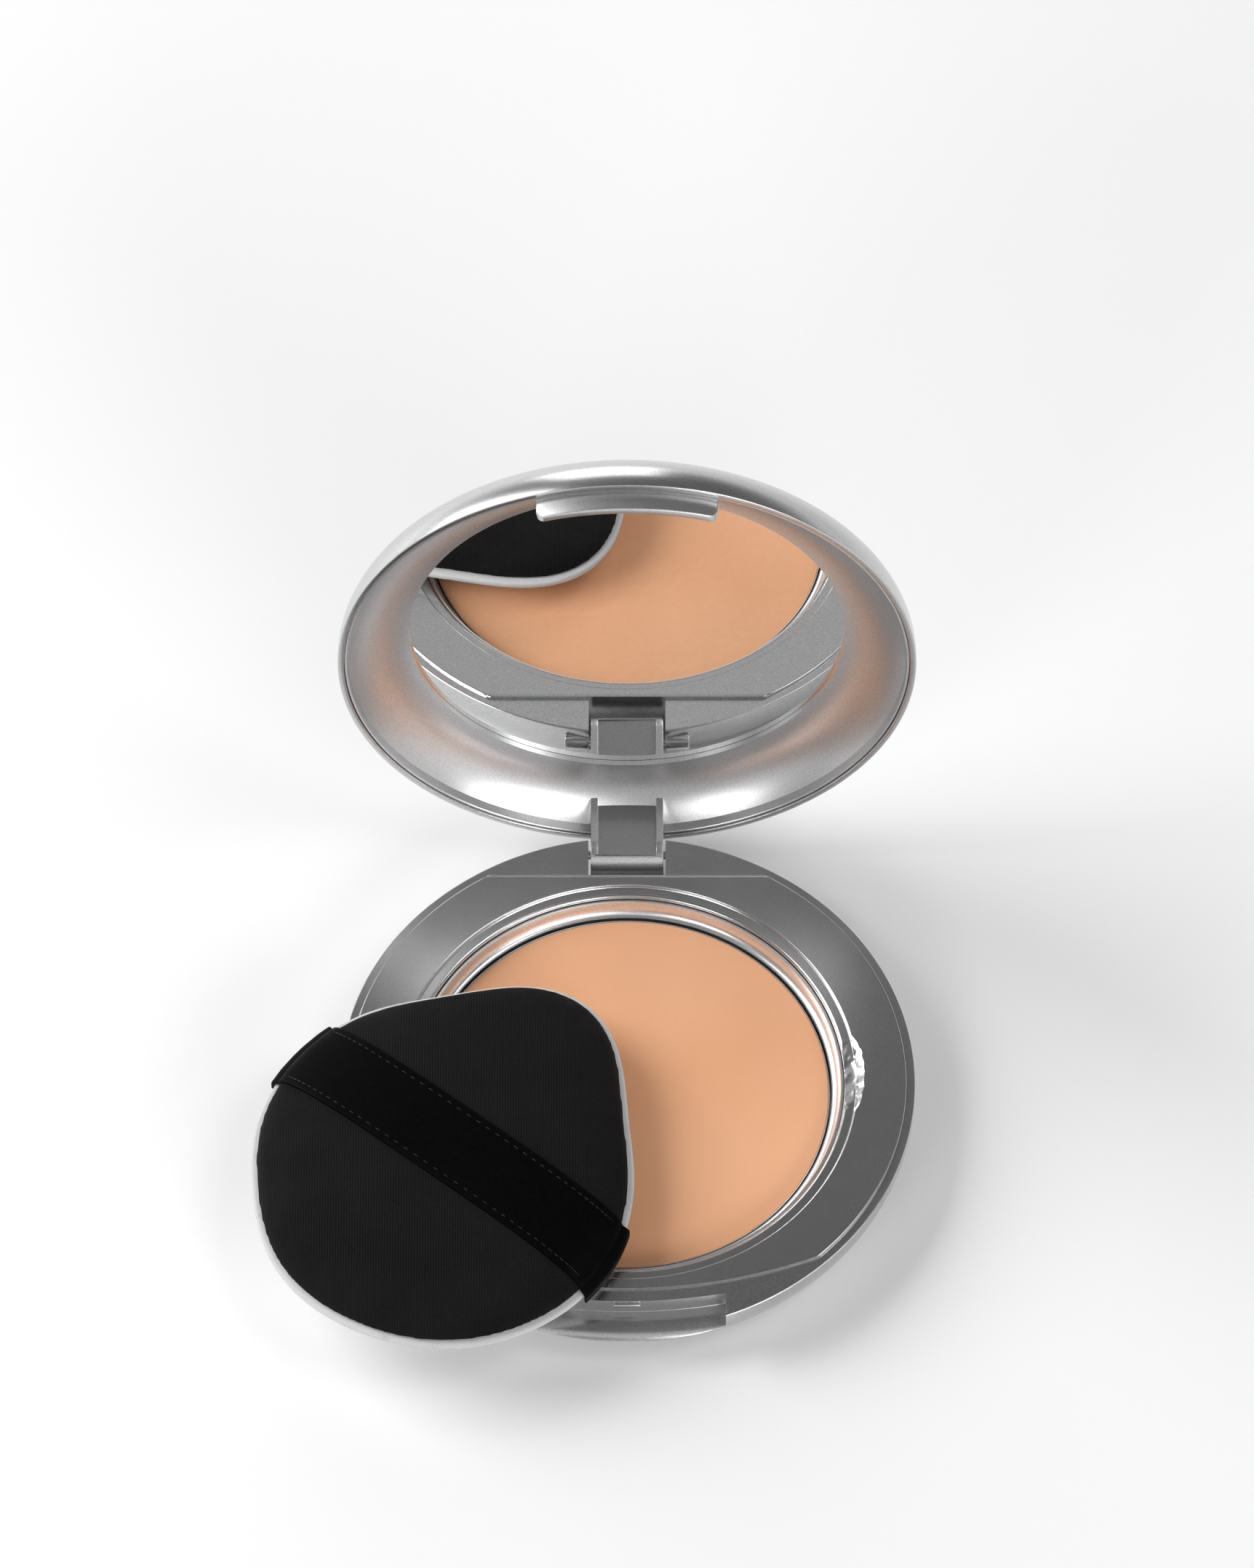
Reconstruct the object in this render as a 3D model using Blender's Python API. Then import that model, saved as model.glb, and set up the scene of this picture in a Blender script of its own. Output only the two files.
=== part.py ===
"""Round powder compact with a mirrored lid, shown open, and its loose powder puff."""

from math import atan2, cos, pi, radians, sin, sqrt

import bmesh
import bpy

# All sizes are in millimetres and become metres as each mesh is made.
METRES_PER_MM = 0.001
TURNS = 60                  # flat sides in one full turn of a round piece
GAP = 0.3                   # between pieces that touch or slide in the real object
NUDGE = 0.05                # keeps the faces of two joined solids off one plane

# Case
CASE_RADIUS = 37.5
BASE_HEIGHT = 7.9           # underside to the ledge
BASE_SIDE_BAND = 1.0        # upright band at the top of the base's wall
BASE_CORNER_WIDTH = 6.45    # how far the rounded lower corner comes in
WALL = 1.2
RIM_WALL = 0.8              # wall beside the ledge and beside the lid's mouth

# Deck, the plate that closes the top of the base
DECK_STEP = 0.4             # deck above the ledge
DECK_THICKNESS = 1.1        # of the flange at ledge height
DECK_BACK_SETBACK = 6.1     # case's edge to the raised part's straight back edge
DECK_FRONT_SETBACK = 6.1    # and to its curved front edge, on the centre line
DECK_FRONT_RADIUS = 65.0
DECK_WIDTH = 7.7            # case's edge to the well
WELL_STEP_DEPTH = 0.5
WELL_STEP_WIDTH = 1.0
WELL_LIP = 0.5
FINGER_RADIUS = 11.5        # scallop beside the well for a fingertip
FINGER_BITE = 1.4           # how far the scallop cuts in beside the well
FINGER_Y = 0.7
FINGER_DEPTH = 0.9

# Tray, pan and powder
TRAY_WALL = 1.3
TRAY_FLOOR = 0.6
PAN_WALL = 0.3
PAD_RADIUS = 15.0
PAD_THICKNESS = 0.3
POWDER_THICKNESS = 1.3

# Latch at the front
LATCH_HALF_WIDTH = 12.7
LATCH_SETBACK = 1.7         # notch wall outside the deck's front edge
LATCH_DEPTH = 2.9           # ledge to the floor at the notch's wall
LATCH_FALL = 1.6            # how much lower the floor is at the front of the case
BEAD_WIDTH = 3.4
BEAD_HEIGHT = 0.7
BEAD_REACH = 0.5
TONGUE_SIDE_GAP = 1.1
TONGUE_LENGTH = 2.8
TONGUE_THICKNESS = 1.1
TONGUE_CORNER = 1.1

# Hinge at the back
HINGE_SETBACK = 1.0         # case's edge to the pin's centre line
HINGE_DROP = 2.8            # ledge to the pin's centre line
OPEN_DEGREES = 94.5
ARM_HALF_WIDTH = 4.8
ARM_RADIUS = 3.2            # round end of the arm, about the pin
ARM_BACK = 1.5              # flat back of the arm behind the pin
POCKET_BORDER = 1.0
POCKET_DEPTH = 0.8
EAR_WIDTH = 3.2
EAR_RADIUS = 1.5
PIN_RADIUS = 0.6

# Lid
LID_BAND = 1.0              # upright band above the rim
LID_CORNER_WIDTH = 9.0
LID_CORNER_HEIGHT = 7.5
LID_CROWN = 0.4
LID_WALL = 1.1
FRAME_WIDTH = 9.2           # case's edge to the mirror's opening
MIRROR_BACKING = 0.4        # mirror's back to the lid's flat inside
MIRROR_THICKNESS = 0.6
MIRROR_HOLD = 1.0           # how far the frame covers the mirror's edge
FRAME_SETBACK = 1.6         # rim to the frame's outer edge
FRAME_LIP = 0.5
FRAME_COVE = 2.2            # how steep the frame's face starts at its outer edge
TAPE_RADIUS = 9.0
TAPE_THICKNESS = 0.15

# Puff
PUFF_X = -23.1
PUFF_Y = -14.2
PUFF_RADIUS = 26.3
PUFF_WAVES = ((2, 1.46, 68.0), (3, 0.94, 56.0), (4, 0.82, 53.0), (5, 0.39, -16.0))
PUFF_POINTS = 48
PUFF_FACE_HEIGHT = 2.0
PUFF_BACKING_HEIGHT = 3.3
PUFF_BACKING_INSET = 0.9
PUFF_SKIN = 0.7             # cloth and wadding round the foam core
PUFF_SEAM = 3.2             # edge to the foam core
RIBBON_DEGREES = -38.2
RIBBON_WIDTH = 10.7
RIBBON_THICKNESS = 0.5
RIBBON_OFFSET = 0.9         # ribbon's centre line from the puff's centre
RIBBON_FOLD = 1.2           # turned down below the puff's seam
RIBBON_STEPS = 8
TURN_CLEARANCE = 0.7        # turn-over axis outside the puff's edge
TABLE_CLEARANCE = 0.4

# Heights and radii that follow from the sizes above
DECK_TOP = BASE_HEIGHT + DECK_STEP
DECK_BACK = CASE_RADIUS - DECK_BACK_SETBACK
DECK_FRONT = CASE_RADIUS - DECK_FRONT_SETBACK
WELL_RADIUS = CASE_RADIUS - DECK_WIDTH
FINGER_REACH = WELL_RADIUS + FINGER_BITE
LATCH_FLOOR = BASE_HEIGHT - LATCH_DEPTH
LATCH_LIP = LATCH_FLOOR - LATCH_FALL
TONGUE_HALF_WIDTH = LATCH_HALF_WIDTH - TONGUE_SIDE_GAP
HINGE_Y = CASE_RADIUS - HINGE_SETBACK
HINGE_Z = BASE_HEIGHT - HINGE_DROP
DECK_RADIUS = CASE_RADIUS - RIM_WALL - GAP
DECK_UNDERSIDE = BASE_HEIGHT - DECK_THICKNESS
SEAT_HEIGHT = DECK_UNDERSIDE - GAP
BASE_CORNER_HEIGHT = BASE_HEIGHT - BASE_SIDE_BAND
BASE_FLAT_RADIUS = CASE_RADIUS - BASE_CORNER_WIDTH
STEP_TOP = DECK_TOP - WELL_STEP_DEPTH
LIP_RADIUS = WELL_RADIUS - WELL_STEP_WIDTH - WELL_LIP
TRAY_RADIUS = LIP_RADIUS - GAP
TRAY_TOP = STEP_TOP - WELL_LIP - NUDGE
TRAY_INSIDE = TRAY_RADIUS - TRAY_WALL
TRAY_FLOOR_TOP = WALL + GAP + TRAY_FLOOR
PAN_RADIUS = TRAY_INSIDE - GAP
PAN_BOTTOM = TRAY_FLOOR_TOP + GAP + PAD_THICKNESS + GAP
POWDER_BOTTOM = PAN_BOTTOM + PAN_WALL + GAP
POWDER_TOP = POWDER_BOTTOM + POWDER_THICKNESS
RIM_HEIGHT = BASE_HEIGHT + GAP
LID_FLAT_RADIUS = CASE_RADIUS - LID_CORNER_WIDTH
MIRROR_OPENING = CASE_RADIUS - FRAME_WIDTH
MIRROR_RADIUS = MIRROR_OPENING + MIRROR_HOLD
MIRROR_DEPTH = LID_BAND + LID_CORNER_HEIGHT - LID_WALL - MIRROR_BACKING - MIRROR_THICKNESS
PUFF_BOTTOM = DECK_TOP + GAP
PUFF_SEAM_HEIGHT = PUFF_BOTTOM + PUFF_FACE_HEIGHT
PUFF_TOP = PUFF_SEAM_HEIGHT + GAP + PUFF_BACKING_HEIGHT


def clear_scene():
    for thing in list(bpy.data.objects):
        bpy.data.objects.remove(thing)


def make_material(name, color, metallic, roughness):
    material = bpy.data.materials.new(name)
    material.use_nodes = True
    shader = material.node_tree.nodes["Principled BSDF"]
    shader.inputs["Base Color"].default_value = (*color, 1.0)
    shader.inputs["Metallic"].default_value = metallic
    shader.inputs["Roughness"].default_value = roughness
    material.diffuse_color = (*color, 1.0)
    return material


def satin_silver(name):
    return make_material(name, (0.72, 0.72, 0.73), 1.0, 0.3)


def make_solid(name, points, faces, material=None, origin=(0.0, 0.0, 0.0)):
    """One closed mesh from points in millimetres, with its object at the given origin."""
    mesh = bpy.data.meshes.new(name)
    moved = [[(value - start) * METRES_PER_MM for value, start in zip(point, origin)] for point in points]
    mesh.from_pydata(moved, [], faces)
    shape = bmesh.new()
    shape.from_mesh(mesh)
    bmesh.ops.remove_doubles(shape, verts=shape.verts, dist=1e-7)
    bmesh.ops.recalc_face_normals(shape, faces=shape.faces)
    shape.to_mesh(mesh)
    shape.free()
    thing = bpy.data.objects.new(name, mesh)
    thing.location = [value * METRES_PER_MM for value in origin]
    bpy.context.scene.collection.objects.link(thing)
    if material:
        mesh.materials.append(material)
        mesh.shade_smooth()
        mesh.set_sharp_from_angle(angle=radians(30))
    else:
        thing.hide_render = True
        thing.display_type = "WIRE"
    return thing


def stacked(name, rings, closed_loop=False, **settings):
    """A solid through rings of equally many points, capped at both ends or joined end to start."""
    count = len(rings[0])
    points = [point for ring in rings for point in ring]
    spans = len(rings) if closed_loop else len(rings) - 1
    faces = []
    for row in range(spans):
        here = row * count
        there = (row + 1) % len(rings) * count
        for step in range(count):
            after = (step + 1) % count
            faces.append((here + step, here + after, there + after, there + step))
    if not closed_loop:
        faces.append(tuple(range(count)))
        faces.append(tuple(range(spans * count, len(points))))
    return make_solid(name, points, faces, **settings)


def turned(name, profile, **settings):
    """A round solid about the upright axis from (radius, height) pairs.

    A profile whose first pair is at radius 0 makes a disc, any other makes a ring.
    """
    is_disc = profile[0][0] == 0
    pairs = profile[1:-1] if is_disc else profile
    angles = [2 * pi * step / TURNS for step in range(TURNS)]
    rings = [[(r * cos(a), r * sin(a), z) for a in angles] for r, z in pairs]
    return stacked(name, rings, closed_loop=not is_disc, **settings)


def prism(name, outline, low, high, **settings):
    rings = [[(x, y, z) for x, y in outline] for z in (low, high)]
    return stacked(name, rings, **settings)


def sideways_prism(name, outline, left, right, **settings):
    """A prism along X from (y, z) pairs."""
    rings = [[(x, y, z) for y, z in outline] for x in (left, right)]
    return stacked(name, rings, **settings)


def arc(center, radii, start, end, steps):
    """Points on an ellipse's arc, both ends included, angles in degrees."""
    points = []
    for step in range(steps + 1):
        angle = radians(start + (end - start) * step / steps)
        points.append((center[0] + radii[0] * cos(angle), center[1] + radii[1] * sin(angle)))
    return points


def combine(target, other, operation="DIFFERENCE"):
    change = target.modifiers.new(other.name, "BOOLEAN")
    change.operation = operation
    change.solver = "EXACT"
    change.object = other


def lay_on_lid(thing):
    """Turns a piece, made where it lies with the lid shut, to where it stands with the lid open."""
    thing.rotation_euler.x = -radians(OPEN_DEGREES)
    return thing


HINGE_POINT = (0.0, HINGE_Y, HINGE_Z)


# Base

def front_curve(setback, half_width, steps=12):
    """Points along the deck's curved front edge, or a curve that far outside it."""
    radius = DECK_FRONT_RADIUS + setback
    center = DECK_FRONT_RADIUS - DECK_FRONT
    points = []
    for step in range(steps + 1):
        x = half_width * (2 * step / steps - 1)
        points.append((x, center - sqrt(radius * radius - x * x)))
    return points


def latch_outline(inward=0.0):
    """Plan of the latch notch, or of a block that is larger by the given wall."""
    curve = front_curve(LATCH_SETBACK - inward, LATCH_HALF_WIDTH + inward)
    half = LATCH_HALF_WIDTH + inward
    return curve + [(half, -CASE_RADIUS - 3), (-half, -CASE_RADIUS - 3)]


def latch_notch(name):
    """The notch's cutter, with a floor that slopes down to the front of the case."""
    outline = latch_outline()
    wall = -front_curve(LATCH_SETBACK, LATCH_HALF_WIDTH)[6][1]
    fall = (LATCH_FLOOR - LATCH_LIP) / (CASE_RADIUS - wall)
    floor = [(x, y, LATCH_FLOOR - fall * (-y - wall)) for x, y in outline]
    roof = [(x, y, BASE_HEIGHT + 1) for x, y in outline]
    return stacked(name, [floor, roof])


def hinge_outline(inward=0.0):
    half = ARM_HALF_WIDTH + GAP + inward
    front = DECK_BACK - inward
    back = CASE_RADIUS + 3
    return [(-half, front), (half, front), (half, back), (-half, back)]


def make_base_cavity():
    corner = arc(
        (BASE_FLAT_RADIUS, BASE_CORNER_HEIGHT),
        (BASE_CORNER_WIDTH - WALL - GAP, BASE_CORNER_HEIGHT - WALL),
        -90, -4, 5,
    )
    seat_edge = CASE_RADIUS - WALL - GAP
    mouth = CASE_RADIUS - RIM_WALL
    profile = [(0, WALL), *corner, (seat_edge, SEAT_HEIGHT), (mouth, SEAT_HEIGHT)]
    cavity = turned("base_cavity", profile + [(mouth, BASE_HEIGHT + 2), (0, BASE_HEIGHT + 2)])
    block_top = SEAT_HEIGHT - NUDGE
    combine(cavity, prism("latch_block", latch_outline(WALL), LATCH_LIP - 2 * WALL, block_top))
    combine(cavity, prism("hinge_block", hinge_outline(WALL), -NUDGE, block_top))
    return cavity


def make_base_shell():
    corner = arc(
        (BASE_FLAT_RADIUS, BASE_CORNER_HEIGHT),
        (BASE_CORNER_WIDTH, BASE_CORNER_HEIGHT),
        -90, 0, 8,
    )
    edge = 0.15
    top = [(CASE_RADIUS, BASE_HEIGHT - edge), (CASE_RADIUS - edge, BASE_HEIGHT), (0, BASE_HEIGHT)]
    shell = turned("base_shell", [(0, 0), *corner, *top], material=satin_silver("shell_silver"))
    combine(shell, make_base_cavity())
    for side in (-1, 1):
        inner = side * (ARM_HALF_WIDTH + GAP)
        outline = arc((HINGE_Y, HINGE_Z), (EAR_RADIUS, EAR_RADIUS), 0, 345, 23)
        ear = sideways_prism(f"ear_{side}", outline, inner - side * NUDGE, inner + side * EAR_WIDTH)
        combine(shell, ear, "UNION")
    bead_y = front_curve(LATCH_SETBACK, LATCH_HALF_WIDTH)[6][1]
    bead_z = (LATCH_FLOOR + SEAT_HEIGHT) / 2
    half = BEAD_WIDTH / 2
    bead = [(-half, bead_y + BEAD_REACH), (half, bead_y + BEAD_REACH), (half, bead_y - BEAD_REACH)]
    bead.append((-half, bead_y - BEAD_REACH))
    combine(shell, latch_notch("latch_notch"))
    combine(shell, prism("hinge_notch", hinge_outline(), HINGE_Z - ARM_RADIUS - GAP, BASE_HEIGHT + 1))
    bead_solid = prism("bead", bead, bead_z - BEAD_HEIGHT / 2, bead_z + BEAD_HEIGHT / 2)
    combine(shell, bead_solid, "UNION")
    bore = arc((HINGE_Y, HINGE_Z), (PIN_RADIUS + GAP, PIN_RADIUS + GAP), 0, 330, 11)
    reach = ARM_HALF_WIDTH + EAR_WIDTH + 2
    combine(shell, sideways_prism("pin_bore", bore, -reach, reach))


def make_base_deck():
    lip = arc((LIP_RADIUS + WELL_LIP, STEP_TOP - WELL_LIP), (WELL_LIP, WELL_LIP), 90, 180, 4)
    profile = [
        (DECK_RADIUS, DECK_UNDERSIDE),
        (DECK_RADIUS, DECK_TOP),
        (WELL_RADIUS, DECK_TOP),
        (WELL_RADIUS, STEP_TOP),
        *lip,
        (LIP_RADIUS, DECK_UNDERSIDE),
    ]
    deck = turned("base_deck", profile, material=satin_silver("deck_silver"))
    above = DECK_TOP + 1
    wide = CASE_RADIUS + 3
    back = [(-wide, DECK_BACK), (wide, DECK_BACK), (wide, wide), (-wide, wide)]
    combine(deck, prism("deck_back_cut", back, BASE_HEIGHT, above))
    front = front_curve(0, wide, 24) + [(wide, -wide - 9), (-wide, -wide - 9)]
    combine(deck, prism("deck_front_cut", front, BASE_HEIGHT, above))
    combine(deck, prism("deck_latch_cut", latch_outline(), DECK_UNDERSIDE - 1, above))
    combine(deck, prism("deck_hinge_cut", hinge_outline(), DECK_UNDERSIDE - 1, above))
    scallop = arc(
        (FINGER_REACH - FINGER_RADIUS, FINGER_Y), (FINGER_RADIUS, FINGER_RADIUS), 0, 354, 59
    )
    combine(deck, prism("finger_cut", scallop, DECK_TOP - FINGER_DEPTH, above))


def make_tray():
    cove = arc((TRAY_INSIDE, TRAY_TOP), (TRAY_WALL - 0.2, TRAY_TOP - POWDER_TOP - GAP), 0, -90, 4)
    profile = [
        (0, TRAY_FLOOR_TOP - TRAY_FLOOR),
        (TRAY_RADIUS, TRAY_FLOOR_TOP - TRAY_FLOOR),
        (TRAY_RADIUS, TRAY_TOP),
        *cove,
        (TRAY_INSIDE, TRAY_FLOOR_TOP),
        (0, TRAY_FLOOR_TOP),
    ]
    turned("powder_tray", profile, material=satin_silver("tray_silver"))


def make_pan_and_powder():
    glue = make_material("glue_pad", (0.8, 0.78, 0.7), 0.0, 0.6)
    low = TRAY_FLOOR_TOP + GAP
    high = low + PAD_THICKNESS
    turned("pan_pad", [(0, low), (PAD_RADIUS, low), (PAD_RADIUS, high), (0, high)], material=glue)
    inside = PAN_RADIUS - PAN_WALL
    floor = PAN_BOTTOM + PAN_WALL
    pan = [
        (0, PAN_BOTTOM),
        (PAN_RADIUS, PAN_BOTTOM),
        (PAN_RADIUS, POWDER_TOP),
        (inside, POWDER_TOP),
        (inside, floor),
        (0, floor),
    ]
    turned("powder_pan", pan, material=make_material("pan_aluminium", (0.83, 0.83, 0.84), 1.0, 0.35))
    edge = 0.3
    radius = inside - GAP
    powder = [
        (0, POWDER_BOTTOM),
        (radius, POWDER_BOTTOM),
        (radius, POWDER_TOP - edge),
        (radius - edge, POWDER_TOP),
        (0, POWDER_TOP),
    ]
    turned("pressed_powder", powder, material=make_material("powder", (0.78, 0.42, 0.23), 0.0, 0.9))


def make_hinge_pin():
    outline = arc((HINGE_Y, HINGE_Z), (PIN_RADIUS, PIN_RADIUS), 0, 330, 11)
    reach = ARM_HALF_WIDTH + EAR_WIDTH
    steel = make_material("pin_steel", (0.6, 0.6, 0.6), 1.0, 0.25)
    sideways_prism("hinge_pin", outline, -reach, reach, material=steel)


# Lid, made shut and then turned about the hinge pin

def lid_curve(wall, steps, last=0.0):
    """The lid's rounded side and top, this far inside its outer face, from the band to the flat top."""
    radii = (LID_CORNER_WIDTH - wall, LID_CORNER_HEIGHT - wall)
    return arc((LID_FLAT_RADIUS, RIM_HEIGHT + LID_BAND), radii, last, 90, steps)


def crown(height):
    middle = LID_FLAT_RADIUS / 2
    return [(middle, height + LID_CROWN * 0.75), (0, height + LID_CROWN)]


def make_lid_shell():
    outer_top = RIM_HEIGHT + LID_BAND + LID_CORNER_HEIGHT
    inner_top = outer_top - LID_WALL
    mouth = CASE_RADIUS - RIM_WALL
    inside = list(reversed(crown(inner_top))) + list(reversed(lid_curve(LID_WALL, 7)))
    outside = lid_curve(0.0, 9) + crown(outer_top)
    band = [(mouth, RIM_HEIGHT + LID_BAND), (mouth, RIM_HEIGHT), (CASE_RADIUS, RIM_HEIGHT)]
    shell = turned(
        "lid_shell", inside + band + outside, material=satin_silver("lid_silver"), origin=HINGE_POINT
    )
    lay_on_lid(shell)


def frame_front(steps=9):
    """The frame's face, a cove that is steep at its outer edge and levels out at the mirror."""
    outer = frame_edge()
    drop = MIRROR_DEPTH - GAP - FRAME_LIP - FRAME_SETBACK
    points = []
    for step in range(steps + 1):
        share = step / steps
        slope = 1 - (1 - share) ** FRAME_COVE
        radius = outer + (MIRROR_OPENING - outer) * share
        points.append((radius, RIM_HEIGHT + FRAME_SETBACK + drop * slope))
    return points


def frame_edge():
    return LID_FLAT_RADIUS + LID_CORNER_WIDTH - LID_WALL - GAP - 0.1


def frame_back(steps=6):
    wall = LID_WALL + GAP
    wide = LID_CORNER_WIDTH - wall
    tall = LID_CORNER_HEIGHT - wall
    pocket = (MIRROR_RADIUS + GAP - LID_FLAT_RADIUS) / wide
    edge = (frame_edge() - LID_FLAT_RADIUS) / wide
    center = (LID_FLAT_RADIUS, RIM_HEIGHT + LID_BAND)
    start = 180 / pi * atan2(sqrt(1 - edge * edge), edge)
    end = 180 / pi * atan2(sqrt(1 - pocket * pocket), pocket)
    return arc(center, (wide, tall), start, end, steps)


def arm_outline():
    """Side view of the hinge arm, as (y, z) pairs."""
    front = HINGE_Y - ARM_RADIUS
    back = HINGE_Y + ARM_BACK
    below = -180 / pi * atan2(sqrt(ARM_RADIUS ** 2 - ARM_BACK ** 2), ARM_BACK)
    inner_back = sqrt(frame_edge() ** 2 - ARM_HALF_WIDTH ** 2) - GAP
    rounded = arc((HINGE_Y, HINGE_Z), (ARM_RADIUS, ARM_RADIUS), -180, below, 8)
    return rounded + [
        (back, RIM_HEIGHT - GAP),
        (inner_back, RIM_HEIGHT - GAP),
        (inner_back, RIM_HEIGHT + FRAME_SETBACK + 0.9),
        (front, RIM_HEIGHT + FRAME_SETBACK + 2.6),
    ]


def make_tongue():
    """The curved catch plate below the front of the rim, with rounded lower corners."""
    outer = frame_edge() - 0.1
    inner = outer - TONGUE_THICKNESS
    low = RIM_HEIGHT - TONGUE_LENGTH
    high = RIM_HEIGHT + FRAME_SETBACK + 0.4
    left = arc((-TONGUE_HALF_WIDTH + TONGUE_CORNER, low + TONGUE_CORNER), (TONGUE_CORNER,) * 2, 180, 270, 3)
    right = [(-x, z) for x, z in reversed(left)]
    straight = [(-TONGUE_HALF_WIDTH * 0.7 + TONGUE_HALF_WIDTH * 0.2 * n, low) for n in range(8)]
    lower = left + straight + right
    rings = []
    for x, z in lower:
        back = -sqrt(outer * outer - x * x)
        front = -sqrt(inner * inner - x * x)
        rings.append([(x, back, z), (x, front, z), (x, front, high), (x, back, high)])
    return stacked("tongue", rings, origin=HINGE_POINT)


def make_mirror_frame():
    lip_back = RIM_HEIGHT + MIRROR_DEPTH - GAP
    profile = frame_front() + [(MIRROR_OPENING, lip_back), (MIRROR_RADIUS + GAP, lip_back)]
    profile += list(reversed(frame_back()))
    frame = turned(
        "mirror_frame", profile, material=satin_silver("frame_silver"), origin=HINGE_POINT
    )
    arm = sideways_prism("arm", arm_outline(), -ARM_HALF_WIDTH, ARM_HALF_WIDTH, origin=HINGE_POINT)
    pocket_half = ARM_HALF_WIDTH - POCKET_BORDER
    front = HINGE_Y - ARM_RADIUS
    pocket = [
        (front - 2, HINGE_Z - ARM_RADIUS * 0.6),
        (front + POCKET_DEPTH, HINGE_Z - ARM_RADIUS * 0.6),
        (front + POCKET_DEPTH, RIM_HEIGHT + 0.9),
        (front - 2, RIM_HEIGHT + 0.9),
    ]
    pocket_solid = sideways_prism("pocket", pocket, -pocket_half, pocket_half, origin=HINGE_POINT)
    bore = arc((HINGE_Y, HINGE_Z), (PIN_RADIUS + GAP, PIN_RADIUS + GAP), 0, 330, 11)
    bore_solid = sideways_prism(
        "arm_bore", bore, -ARM_HALF_WIDTH - 1, ARM_HALF_WIDTH + 1, origin=HINGE_POINT
    )
    combine(frame, arm, "UNION")
    tongue = make_tongue()
    combine(frame, tongue, "UNION")
    combine(frame, pocket_solid)
    combine(frame, bore_solid)
    for piece in (frame, arm, tongue, pocket_solid, bore_solid):
        lay_on_lid(piece)


def make_mirror():
    face = RIM_HEIGHT + MIRROR_DEPTH
    back = face + MIRROR_THICKNESS
    glass = make_material("mirror_glass", (0.9, 0.9, 0.9), 1.0, 0.02)
    profile = [(0, face), (MIRROR_RADIUS, face), (MIRROR_RADIUS, back), (0, back)]
    lay_on_lid(turned("mirror", profile, material=glass, origin=HINGE_POINT))
    low = back + GAP
    high = low + TAPE_THICKNESS
    foam = make_material("mirror_tape", (0.85, 0.85, 0.85), 0.0, 0.8)
    profile = [(0, low), (TAPE_RADIUS, low), (TAPE_RADIUS, high), (0, high)]
    lay_on_lid(turned("mirror_tape", profile, material=foam, origin=HINGE_POINT))


# Puff

def puff_edge(angle):
    """Distance from the puff's centre to its edge in this direction."""
    return PUFF_RADIUS + sum(size * cos(n * (angle - radians(turn))) for n, size, turn in PUFF_WAVES)


def puff_ring(inset, height):
    ring = []
    for step in range(PUFF_POINTS):
        angle = 2 * pi * step / PUFF_POINTS
        reach = puff_edge(angle) - inset
        ring.append((PUFF_X + reach * cos(angle), PUFF_Y + reach * sin(angle), height))
    return ring


def puff_turn_point():
    """A point on the turn-over axis, just outside the puff's outermost edge."""
    away = sqrt(PUFF_X ** 2 + PUFF_Y ** 2)
    reach = max(x * PUFF_X + y * PUFF_Y for x, y, _ in puff_ring(0, 0)) / away + TURN_CLEARANCE
    height = (PUFF_TOP + GAP + RIBBON_THICKNESS + TABLE_CLEARANCE) / 2
    return (PUFF_X * reach / away, PUFF_Y * reach / away, height)


def backing_rise(share):
    """Height of the backing's domed top at this share of the way from centre to edge."""
    low = PUFF_SEAM_HEIGHT + GAP + 0.8
    return low + (PUFF_TOP - low) * sqrt(max(0.0, 1 - share ** 4))


def make_puff():
    point = puff_turn_point()
    velour = make_material("puff_velour", (0.55, 0.55, 0.56), 0.0, 0.95)
    twill = make_material("puff_twill", (0.012, 0.012, 0.014), 0.0, 0.8)
    foam = make_material("puff_foam", (0.8, 0.75, 0.6), 0.0, 0.9)
    floor = PUFF_BOTTOM + PUFF_SKIN
    face = [
        puff_ring(2.0, PUFF_BOTTOM),
        puff_ring(0.7, PUFF_BOTTOM + 0.4),
        puff_ring(0.1, PUFF_BOTTOM + 1.2),
        puff_ring(0.0, PUFF_SEAM_HEIGHT),
        puff_ring(PUFF_SEAM, PUFF_SEAM_HEIGHT),
        puff_ring(PUFF_SEAM, floor),
    ]
    stacked("puff_face", face, material=velour, origin=point)
    bottom = PUFF_SEAM_HEIGHT + GAP
    ceiling = PUFF_TOP - PUFF_SKIN - 0.9
    backing = [
        puff_ring(PUFF_SEAM, ceiling),
        puff_ring(PUFF_SEAM, bottom),
        puff_ring(PUFF_BACKING_INSET, bottom),
    ]
    for share in (1.0, 0.97, 0.9, 0.75, 0.5, 0.2):
        inset = PUFF_BACKING_INSET + (PUFF_RADIUS - PUFF_BACKING_INSET) * (1 - share)
        backing.append(puff_ring(inset, backing_rise(share)))
    stacked("puff_backing", backing, material=twill, origin=point)
    core = [puff_ring(PUFF_SEAM + GAP, floor + GAP), puff_ring(PUFF_SEAM + GAP, ceiling - GAP)]
    stacked("puff_core", core, material=foam, origin=point)
    make_ribbon(point)


def ribbon_reach(side):
    """How far the puff reaches under the ribbon, from its centre towards this end."""
    along = radians(RIBBON_DEGREES)
    reach = 0.0
    for step in range(360):
        angle = radians(step)
        forward = side * puff_edge(angle) * cos(angle - along)
        sideways = puff_edge(angle) * sin(angle - along) - RIBBON_OFFSET
        if abs(sideways) < RIBBON_WIDTH / 2:
            reach = max(reach, forward)
    return reach


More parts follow.
